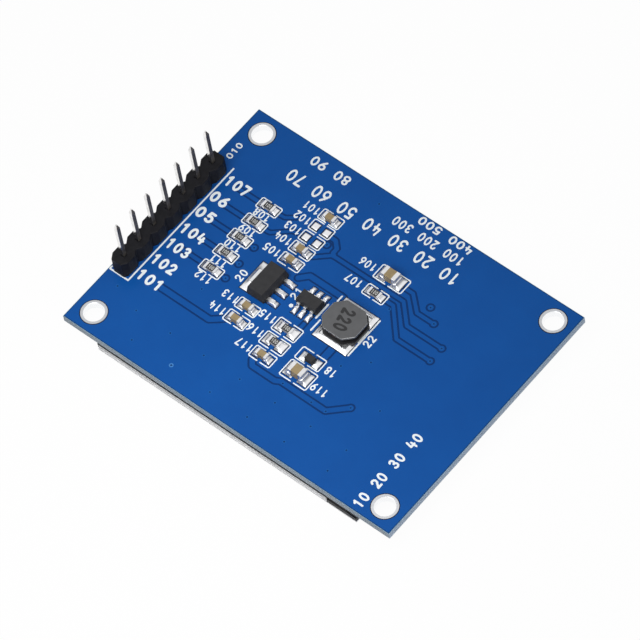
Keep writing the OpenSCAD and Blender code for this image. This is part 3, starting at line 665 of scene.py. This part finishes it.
def solder_hill(mesh, foot, pad, height, bead=0.1, hollow=2.4, squareness=6):
    """Solder over a pad: it climbs the metal foot that it holds and ends in a round bead at the edge."""
    (fx0, fy0), _, (fx1, fy1), _ = foot
    (px0, py0), _, (px1, py1), _ = pad
    least, cell, film = 0.02, 0.09, 0.004
    cuts = []
    for low, f0, f1, high in ((px0, fx0, fx1, px1), (py0, fy0, fy1, py1)):
        found = set()
        for a, b in ((low, f0), (f0, f1), (f1, high)):
            if b - a > least / 2:
                found.update(round(stop, 5) for stop in stops(a, b, max(3, min(9, int((b - a) / cell)))))
        found = sorted(found)
        cuts.append([found[0], found[0] + least] + found[1:-1] + [found[-1] - least, found[-1]])
    xs, ys = cuts
    skew, swell = uneven.uniform(-0.12, 0.12), uneven.uniform(0.9, 1.1)

    def beyond(at, low, f0, f1, high):
        """How far a place lies past the foot, as a share of the pad's reach there."""
        if at < f0:
            return (f0 - at) / max(f0 - low, least)
        return (at - f1) / max(high - f1, least) if at > f1 else 0

    def level(x, y):
        away = math.hypot(beyond(x, px0, fx0, fx1, px1), beyond(y, py0, fy0, fy1, py1))
        climb = height * (1 - min(1.0, away)) ** hollow
        lean = 1 + skew * math.sin(3 * (x + y))
        return film + (climb + bead * swell * lean) * crown(x, y, pad, squareness)

    def covered(x0, x1, y0, y1):
        return x0 >= fx0 - 1e-4 and x1 <= fx1 + 1e-4 and y0 >= fy0 - 1e-4 and y1 <= fy1 + 1e-4

    cells = {(i, j) for i in range(len(xs) - 1) for j in range(len(ys) - 1)
             if not covered(xs[i], xs[i + 1], ys[j], ys[j + 1])}
    tops, bases = {}, {}

    def corner(store, i, j, z):
        if (i, j) not in store:
            store[i, j] = mesh.verts.new((xs[i] * mm, ys[j] * mm, z * mm))
        return store[i, j]

    for i, j in sorted(cells):
        square = [(i, j), (i + 1, j), (i + 1, j + 1), (i, j + 1)]
        high = [corner(tops, a, b, pad_top + level(xs[a], ys[b])) for a, b in square]
        low = [corner(bases, a, b, pad_top) for a, b in square]
        mesh.faces.new(high).smooth = True
        mesh.faces.new(low[::-1])
        for k, beside in enumerate(((i, j - 1), (i + 1, j), (i, j + 1), (i - 1, j))):
            if beside not in cells:
                following = (k + 1) % 4
                mesh.faces.new([low[k], low[following], high[following], high[k]])


def tin_cushion(mesh, pad, height, cells=10):
    """A low crown of tin over a whole pad."""
    (x0, y0), _, (x1, y1), _ = pad
    rows = [[mesh.verts.new((x * mm, y * mm, (pad_top + height * crown(x, y, pad, 4)) * mm))
             for x in stops(x0, x1, cells)] for y in stops(y0, y1, cells)]
    for lower, upper in zip(rows, rows[1:]):
        for k in range(cells):
            mesh.faces.new([lower[k], lower[k + 1], upper[k + 1], upper[k]]).smooth = True
    rim = rows[0] + [row[-1] for row in rows[1:-1]] + rows[-1][::-1] + [row[0] for row in rows[-2:0:-1]]
    mesh.faces.new(rim[::-1])


mesh = bmesh.new()
for node, toe, side in chips:
    low, high = box_mm(node)
    rise = (high.z - low.z) * (0.6 if node.startswith("resistor") else 0.5)
    for pad, foot in zip(chip_lands(node, toe, side), chip_lands(node, 0, 0)):
        solder_hill(mesh, foot, pad, rise)

# The metal feet of the larger parts are set out from each part's middle, as their pads are
tab_foot_start, tab_foot_half = 1.95, 0.85
tab_foot = box_of(regulator.x - tab_foot_start, regulator.y - tab_foot_half, regulator.x - tab_end,
                  regulator.y + tab_foot_half)
solder_hill(mesh, tab_foot, tab_pad, 0.24, bead=0.12)
lead_foot_end, lead_foot_half = 2.2, 0.225
for y, pad in zip(lead_rows, lead_pads):
    foot = box_of(regulator.x + lead_start, y - lead_foot_half, regulator.x + lead_foot_end,
                  y + lead_foot_half)
    solder_hill(mesh, foot, pad, 0.24, bead=0.26, squareness=4)
leg_foot_start, leg_foot_end, leg_foot_half = 1.0, 1.4, 0.2
for (s, x), pad in zip(converter_legs, converter_pads):
    near, far = sorted((converter.y + s * leg_foot_start, converter.y + s * leg_foot_end))
    solder_hill(mesh, box_of(x - leg_foot_half, near, x + leg_foot_half, far), pad, 0.1, bead=0.3,
                squareness=2.6)
clip_foot, clip_foot_half = 1.4, 1.9
clip_low, clip_high = box_mm("inductor_terminals")
for s, edge, pad in zip((-1, 1), (clip_low.y, clip_high.y), inductor_pads):
    near, far = sorted((edge, edge - s * clip_foot))
    solder_hill(mesh, box_of(inductor.x - clip_foot_half, near, inductor.x + clip_foot_half, far), pad, 0.2,
                bead=0.12)
end_foot_start, end_foot_end, end_foot_half = 0.5, 0.8, 0.16
for s, pad in zip((-1, 1), diode_pads):
    near, far = sorted((diode.x + s * end_foot_start, diode.x + s * end_foot_end))
    solder_hill(mesh, box_of(near, diode.y - end_foot_half, far, diode.y + end_foot_half), pad, 0.14,
                bead=0.14)
for pad in spare_pads:
    tin_cushion(mesh, pad, 0.09)

# The cones round the pins' tails, each with a square bore for its pin
tail_half, cone_base, cone_top, cone_h, cone_sides, cone_rings = 0.265, 0.74, 0.4, 0.8, 24, 7
pad_t, bore_rise = 0.04, 1.03
ring_under = board_under - pad_t
for x, y in pins:
    tilt = uneven.uniform(-0.03, 0.03)
    rims = []
    for k in range(cone_rings):
        t = k / (cone_rings - 1)
        radius = cone_top + (cone_base - cone_top) * (1 - t) ** 2.4
        ring = ring_of(x + tilt * t, y + tilt * t, radius, cone_sides)
        rims.append(rim_at(mesh, ring, ring_under - cone_h * t))
    square = []
    for px, py in ring_of(x, y, 1.0, cone_sides):
        stretch = tail_half / max(abs(px - x), abs(py - y))
        square.append((x + (px - x) * stretch, y + (py - y) * stretch))
    rims += [rim_at(mesh, square, z) for z in (ring_under - cone_h * bore_rise, ring_under)]
    join_rims(mesh, rims, smooth=True)
bmesh.ops.recalc_face_normals(mesh, faces=mesh.faces)
fillets = new_piece("solder_fillets", mesh, "solder", solder)
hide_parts("solder_joints")


# ---- Chip resistors ----------------------------------------------------------------------------
# Each is a small white ceramic bar with a dark resistive film on top under a glassy coat. Tinned
# metal wraps both ends.

def dress_rounded(node, finish, width, steps=2, angle=40):
    """A CAD piece takes a finish, and its sharp edges are rounded by a small radius."""
    dress(node, finish)
    weld = cad[node].modifiers.new("joined_corners", "WELD")
    weld.merge_threshold = 0.001 * mm
    bevel = cad[node].modifiers.new("soft_edges", "BEVEL")
    bevel.width = width * mm
    bevel.segments = steps
    bevel.limit_method = "ANGLE"
    bevel.angle_limit = math.radians(angle)


coat, tree, shader = new_finish("resistor_coat", roughness=0.35, Specular_IOR_Level=0.3)
coat_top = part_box("resistor_1_body")[1].z
on_top = ramp(tree, parts_of(tree, place_on(tree))["Z"], coat_top - 0.05 * mm, coat_top - 0.035 * mm)
tone = add_patches(tree, (0.030, 0.030, 0.032), (0.05, 0.05, 0.052), 3000.0, 0.8)["Colour"]
feed(shader, Base_Color=mixed(tree, on_top, (0.42, 0.41, 0.39), tone),
     Normal=add_grain(tree, 12000.0, 0.000004)["Normal"])
end_metal = metal_finish("chip_end_metal", (0.82, 0.82, 0.83), (0.66, 0.66, 0.68), 0.28, 4000.0, 0.000002)

# Pale figures are printed on each coat
figures = mottled_finish("resistor_figures", 0.5, (0.62, 0.62, 0.60), (0.48, 0.48, 0.47), patches=6000.0,
                         amount=0.8)
mesh = bmesh.new()
for i in range(1, 9):
    dress_rounded(f"resistor_{i}_body", coat, 0.012)
    dress_rounded(f"resistor_{i}_ends", end_metal, 0.02)
    low, high = box_mm(f"resistor_{i}_body")
    print_number(mesh, "100", (low.x + high.x) / 2, (low.y + high.y) / 2, 0.52, 0.82, weight=0.25,
                 levels=[high.z, high.z + 0.005])
new_piece("resistor_marks", mesh, "white_print", figures)


# ---- Chip capacitors ---------------------------------------------------------------------------
# Many thin layers of tan ceramic and metal are pressed and fired into one bar. The ends are dipped,
# so their metal runs over all five faces in a soft edge.

ceramic = mottled_finish("capacitor_ceramic", 0.45, (0.36, 0.27, 0.14), (0.27, 0.20, 0.10), patches=2200.0,
                         amount=0.8, grains=9000.0, height=0.000006)
for i in range(1, 9):
    dress_rounded(f"capacitor_{i}_body", ceramic, 0.05, 3)
    dress_rounded(f"capacitor_{i}_ends", end_metal, 0.03, 2, 30)


# ---- Regulator ---------------------------------------------------------------------------------
# A chip on a wide tinned tab is moulded into a dark plastic block. Three leads leave one side and
# the tab leaves the other, all cut from one sheet.

def plastic_finish(name, colour, worn_colour, roughness, grain_height, gloss=0.2):
    """Moulded plastic: dark, matt and finely eroded by its mould."""
    plastic, tree, shader = new_finish(name, roughness, Specular_IOR_Level=gloss)
    grain = add_grain(tree, 11000.0, grain_height)
    dull = ramp(tree, grain["Mask"], 0.3, 0.7, roughness - 0.08, roughness + 0.08)
    feed(shader, Base_Color=add_patches(tree, colour, worn_colour, 1500.0, 0.7)["Colour"],
         Normal=grain["Normal"], Roughness=dull)
    return plastic


chip_plastic = plastic_finish("chip_plastic", (0.030, 0.030, 0.032), (0.042, 0.042, 0.045), 0.6, 0.000008)
tinned_lead = metal_finish("tinned_lead", (0.82, 0.83, 0.84), (0.68, 0.69, 0.71), 0.26, 3000.0, 0.000003)
dress_rounded("regulator_body", chip_plastic, 0.06, 3, 30)
dress_rounded("regulator_leads", tinned_lead, 0.03)


# ---- Converter ---------------------------------------------------------------------------------
# The smaller block has six thin leads, bent down and out like a gull's wings so that their feet
# lie flat on the pads.

dress_rounded("converter_body", chip_plastic, 0.035, 2, 30)
dress_rounded("converter_leads", tinned_lead, 0.02)


# ---- Inductor ----------------------------------------------------------------------------------
# Enamelled wire is wound on a ferrite drum between two flanges with cut corners. Two tinned clips
# hold its ends, and a value is stamped on the top in ink.

ferrite, tree, shader = new_finish("sintered_ferrite", roughness=0.4)
core_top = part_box("inductor_core")[1].z
# Painted shade: all of the core but the top few tenths of a millimetre is painted near-black
upper = ramp(tree, parts_of(tree, place_on(tree))["Z"], core_top - 0.4 * mm, core_top - 0.25 * mm)
tone = add_patches(tree, (0.105, 0.107, 0.113), (0.080, 0.082, 0.086), 900.0, 0.8)["Colour"]
# Painted highlight: faces that slant, on the rounded edges, are painted pale grey
slanted = worked(tree, "COMPARE", facing(tree)["Z"], 0.55, 0.42)
painted_edge_highlight = mixed(tree, slanted, tone, (0.50, 0.51, 0.52))
feed(shader, Base_Color=mixed(tree, upper, (0.018, 0.018, 0.02), painted_edge_highlight),
     Normal=add_grain(tree, 8000.0, 0.000014)["Normal"])
dress_rounded("inductor_core", ferrite, 0.11, 3)
# The wire's enamel is brown, and its colour is darkened to near-black as painted shade between the flanges
dress("inductor_coil", mottled_finish("enamelled_wire", 0.3, (0.060, 0.026, 0.014), (0.03, 0.016, 0.01),
                                      patches=2500.0, amount=0.7, Coat_Weight=0.4))
dress_rounded("inductor_terminals", tinned_lead, 0.02)

black_ink = mottled_finish("black_ink", 0.6, (0.006, 0.006, 0.007), (0.018, 0.018, 0.02), patches=5000.0,
                           amount=0.8)
mesh = bmesh.new()
print_number(mesh, "220", inductor.x, inductor.y, 1.75, 3.0, turn=-78, weight=0.28,
             levels=[core_top / mm, core_top / mm + 0.012])
new_piece("inductor_mark", mesh, "ferrite", black_ink)


# ---- Diode -------------------------------------------------------------------------------------
# A chip is moulded into a small dark block of the regulator's plastic. A flat tinned lead leaves each
# of its ends and lies on its pad.

dress_rounded("diode_body", chip_plastic, 0.03)
dress_rounded("diode_leads", tinned_lead, 0.02)


# ---- Pin header --------------------------------------------------------------------------------
# Square pins are pressed through a black plastic strip, which was snapped off a longer one at its
# notches, and soldered into the board.

strip_plastic = plastic_finish("header_plastic", (0.009, 0.009, 0.011), (0.016, 0.016, 0.019), 0.5, 0.000006,
                               gloss=0.1)
dress_rounded("header_housing", strip_plastic, 0.07, 2, 30)

# The wire is drawn and tinned before it is cut. Its sides facing along X are painted dark and dull: painted
# shade.
pin_metal, tree, shader = new_finish("pin_metal", roughness=0.2)
shaded_sides = turned_to(tree, "X", 0.8)
bright = add_patches(tree, (0.94, 0.93, 0.92), (0.62, 0.62, 0.62), 1300.0, 0.8)["Colour"]
dull = add_patches(tree, (0.17, 0.155, 0.14), (0.05, 0.046, 0.043), 1100.0, 0.9)["Colour"]
feed(shader, Base_Color=mixed(tree, shaded_sides, bright, dull), Metallic=ramp(tree, shaded_sides, start=1.0, end=0.4),
     Roughness=ramp(tree, shaded_sides, start=0.16, end=0.42))
for i in range(1, 8):
    dress_rounded(f"header_pin_{i}", pin_metal, 0.04)


# ---- Panel -------------------------------------------------------------------------------------
# Pale tape holds the panel to the board. A front glass carries the dots of the display, a rear glass
# has a drying sheet in its pocket, and a dark film stops reflections. Glue blackens both glasses.

dress("mounting_tape", mottled_finish("mounting_tape", 0.75, (0.62, 0.62, 0.59), (0.50, 0.50, 0.48),
                                      patches=500.0, amount=0.7, grains=7000.0, height=0.00002))


def glass_finish(name, face_colour, roughness, low, high, sealed_from):
    """Sheet glass: dark through its faces, with fine metal tracks on its ledge. Its ground edges are pale
    between two heights, up to the place where resin has run over them."""
    glass, tree, shader = new_finish(name, roughness, IOR=1.5)
    place = parts_of(tree, place_on(tree))
    resin_rise = 0.12
    between = worked(tree, "COMPARE", place["Z"], (low + high) / 2 * mm, (high - low) / 2 * mm)
    before_resin = worked(tree, "LESS_THAN", place["X"], sealed_from)
    under_resin = worked(tree, "LESS_THAN", place["Z"], (low + resin_rise) * mm)
    pale = worked(tree, "MULTIPLY", between, worked(tree, "MAXIMUM", before_resin, under_resin))
    ground = add_patches(tree, (0.80, 0.80, 0.82), (0.67, 0.68, 0.69), 300.0, 0.7)["Colour"]
    edge = mixed(tree, pale, face_colour, ground)
    lines = ramp(tree, bands(tree, "Y", 1100.0, Distortion=0.4), 0.45, 0.65)
    on_ledge = worked(tree, "GREATER_THAN", place["X"], sealed_from)
    face = mixed(tree, worked(tree, "MULTIPLY", lines, on_ledge), face_colour, (0.085, 0.080, 0.066))
    is_face = turned_to(tree, "Z")
    feed(shader, Base_Color=mixed(tree, is_face, edge, face),
         Roughness=ramp(tree, is_face, start=0.6, end=roughness))
    return glass


ledge_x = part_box("cap_glass")[1].x
dress("front_glass", glass_finish("front_glass", (0.012, 0.013, 0.016), 0.12, 0.24, 0.86, ledge_x))
dress("cap_glass", glass_finish("rear_glass", (0.02, 0.022, 0.024), 0.2, 0.94, 1.17, ledge_x))
dress("desiccant", mottled_finish("drying_sheet", 0.9, (0.72, 0.70, 0.64), (0.6, 0.58, 0.53), patches=600.0,
                                  amount=0.8))

# The film is black, and the square of dots behind it is a shade bluer than its border
film, tree, shader = new_finish("dark_film", roughness=0.12, Coat_Weight=0.5, Coat_Roughness=0.05)
film_low, film_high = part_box("polarizer")
square_half, square_fade, dot_scale = 13.43 * mm, 0.05 * mm, 1496.0
place = parts_of(tree, place_on(tree))
within = []
for axis, middle in (("X", (film_low.x + film_high.x) / 2), ("Y", 0.0)):
    away = worked(tree, "ABSOLUTE", worked(tree, "SUBTRACT", place[axis], middle))
    within.append(ramp(tree, away, square_half, square_half + square_fade, 1.0, 0.0))
rows = [ramp(tree, bands(tree, way, dot_scale), 0.1, 0.3) for way in ("X", "Y")]
border = add_patches(tree, (0.006, 0.006, 0.007), (0.009, 0.009, 0.011), 120.0, 0.6)["Colour"]
dots = mixed(tree, worked(tree, "MULTIPLY", *rows), (0.007, 0.008, 0.012), (0.020, 0.023, 0.038))
feed(shader, Base_Color=mixed(tree, worked(tree, "MULTIPLY", *within), border, dots))
dress("polarizer", film)


# ---- Driver and tail ---------------------------------------------------------------------------
# The driver chip is bonded to the ledge of the front glass under black resin. A thin amber tail
# leaves the ledge, folds round the glass edge and is soldered to the board.

dress("driver_chip", mottled_finish("bare_silicon", 0.2, (0.15, 0.16, 0.18), (0.11, 0.12, 0.14),
                                    patches=900.0, amount=0.7))
black_resin = mottled_finish("black_resin", 0.38, (0.008, 0.008, 0.009), (0.016, 0.016, 0.018),
                             patches=350.0, amount=0.8, grains=1200.0, height=0.00004)
dress_rounded("driver_coating", black_resin, 0.12, 3)

amber, tree, shader = new_finish("amber_film", roughness=0.25, Coat_Weight=0.3)
on_line = ramp(tree, bands(tree, "Y", 520.0), 0.45, 0.6)
tone = add_patches(tree, (0.42, 0.19, 0.045), (0.34, 0.14, 0.03), 500.0, 0.8)["Colour"]
feed(shader, Base_Color=mixed(tree, on_line, tone, (0.56, 0.27, 0.07)))
dress("flex_tail", amber)


# ---- Table, light and camera -------------------------------------------------------------------
# The module lies display down on a plain white table under two soft lamps and a pale room. The table
# is see-through from below, so that the display can be looked at too.

table_half, table_z = 4, -0.02 * mm
table_mesh = bpy.data.meshes.new("table")
corners = box_round(0, 0, table_half, table_half)
table_mesh.from_pydata([(x, y, table_z) for x, y in corners], [], [(0, 1, 2, 3)])
table = place_object("table", table_mesh)
table_top = bpy.data.materials.new("table_top")
table_top.use_nodes = True
tree = table_top.node_tree
tree.nodes.clear()
matt = add_node(tree, "ShaderNodeBsdfDiffuse", Color=(0.8, 0.8, 0.8))
white = add_node(tree, "ShaderNodeEmission", Color=(1.0, 1.0, 1.0), Strength=1.0)
path = tree.nodes.new("ShaderNodeLightPath").outputs
seen = worked(tree, "MAXIMUM", path["Is Camera Ray"], path["Is Transmission Ray"])
seen = worked(tree, "MAXIMUM", seen, path["Is Glossy Ray"])
white_share = 0.97
above = add_node(tree, "ShaderNodeMixShader", in0=worked(tree, "MULTIPLY", seen, white_share),
                 in1=matt.outputs[0], in2=white.outputs[0])
clear = add_node(tree, "ShaderNodeBsdfTransparent", Color=(1.0, 1.0, 1.0))
below = tree.nodes.new("ShaderNodeNewGeometry").outputs["Backfacing"]
one_way = add_node(tree, "ShaderNodeMixShader", in0=below, in1=above.outputs[0], in2=clear.outputs[0])
add_node(tree, "ShaderNodeOutputMaterial", Surface=one_way.outputs[0])
table_mesh.materials.append(table_top)

scene = bpy.context.scene
room = bpy.data.worlds.new("room")
scene.world = room
room.use_nodes = True
tree = room.node_tree
pale = tree.nodes["Background"]
pale.inputs["Color"].default_value = (1.0, 1.0, 1.0, 1.0)
path = tree.nodes.new("ShaderNodeLightPath").outputs
height = parts_of(tree, tree.nodes.new("ShaderNodeTexCoord").outputs["Generated"])["Z"]
dome = ramp(tree, height, 0.15, 0.8, 0.05, 0.37, interpolation_type="SMOOTHSTEP")
shine = ramp(tree, height, 0.1, 0.75, 0.18, 1.0, interpolation_type="SMOOTHSTEP")
unseen = add_node(tree, "ShaderNodeMix", in0=path["Is Glossy Ray"], in2=dome, in3=shine)
strength = add_node(tree, "ShaderNodeMix", in0=path["Is Camera Ray"], in2=unseen.outputs[0], in3=1.0)
feed(pale, Strength=strength.outputs[0])


def direction_of(azimuth, elevation):
    """The way from the module towards a compass side and height, in degrees."""
    a, e = math.radians(azimuth), math.radians(elevation)
    return Vector((math.sin(a) * math.cos(e), -math.cos(a) * math.cos(e), math.sin(e)))


def soft_lamp(name, azimuth, elevation, distance, width, watts):
    """A square soft box aimed at the module from a compass side and height."""
    toward = direction_of(azimuth, elevation)
    lamp = bpy.data.lights.new(name, "AREA")
    lamp.size = width
    lamp.energy = watts
    holder = place_object(name, lamp)
    holder.location = toward * distance
    holder.rotation_euler = toward.to_track_quat("Z", "Y").to_euler()


soft_lamp("window_side", azimuth=0, elevation=62, distance=0.08, width=0.06, watts=0.0435)
soft_lamp("near_side", azimuth=62, elevation=30, distance=0.35, width=0.14, watts=0.22)

camera = place_object("camera", bpy.data.cameras.new("camera"))
camera_distance, camera_roll = 661.7 * mm, -11.53
aim = Vector((0.07, -0.49, 2.64)) * mm
toward = direction_of(azimuth=49.61, elevation=57.53)
camera.location = aim + toward * camera_distance
level_view = toward.to_track_quat("Z", "Y").to_matrix()
camera.rotation_euler = (level_view @ Matrix.Rotation(math.radians(camera_roll), 3, "Z")).to_euler()
camera.data.sensor_width = 36.0
camera.data.lens = 337.9
camera.data.clip_start, camera.data.clip_end = 0.01, 20.0
scene.camera = camera
scene.view_settings.view_transform = "Standard"
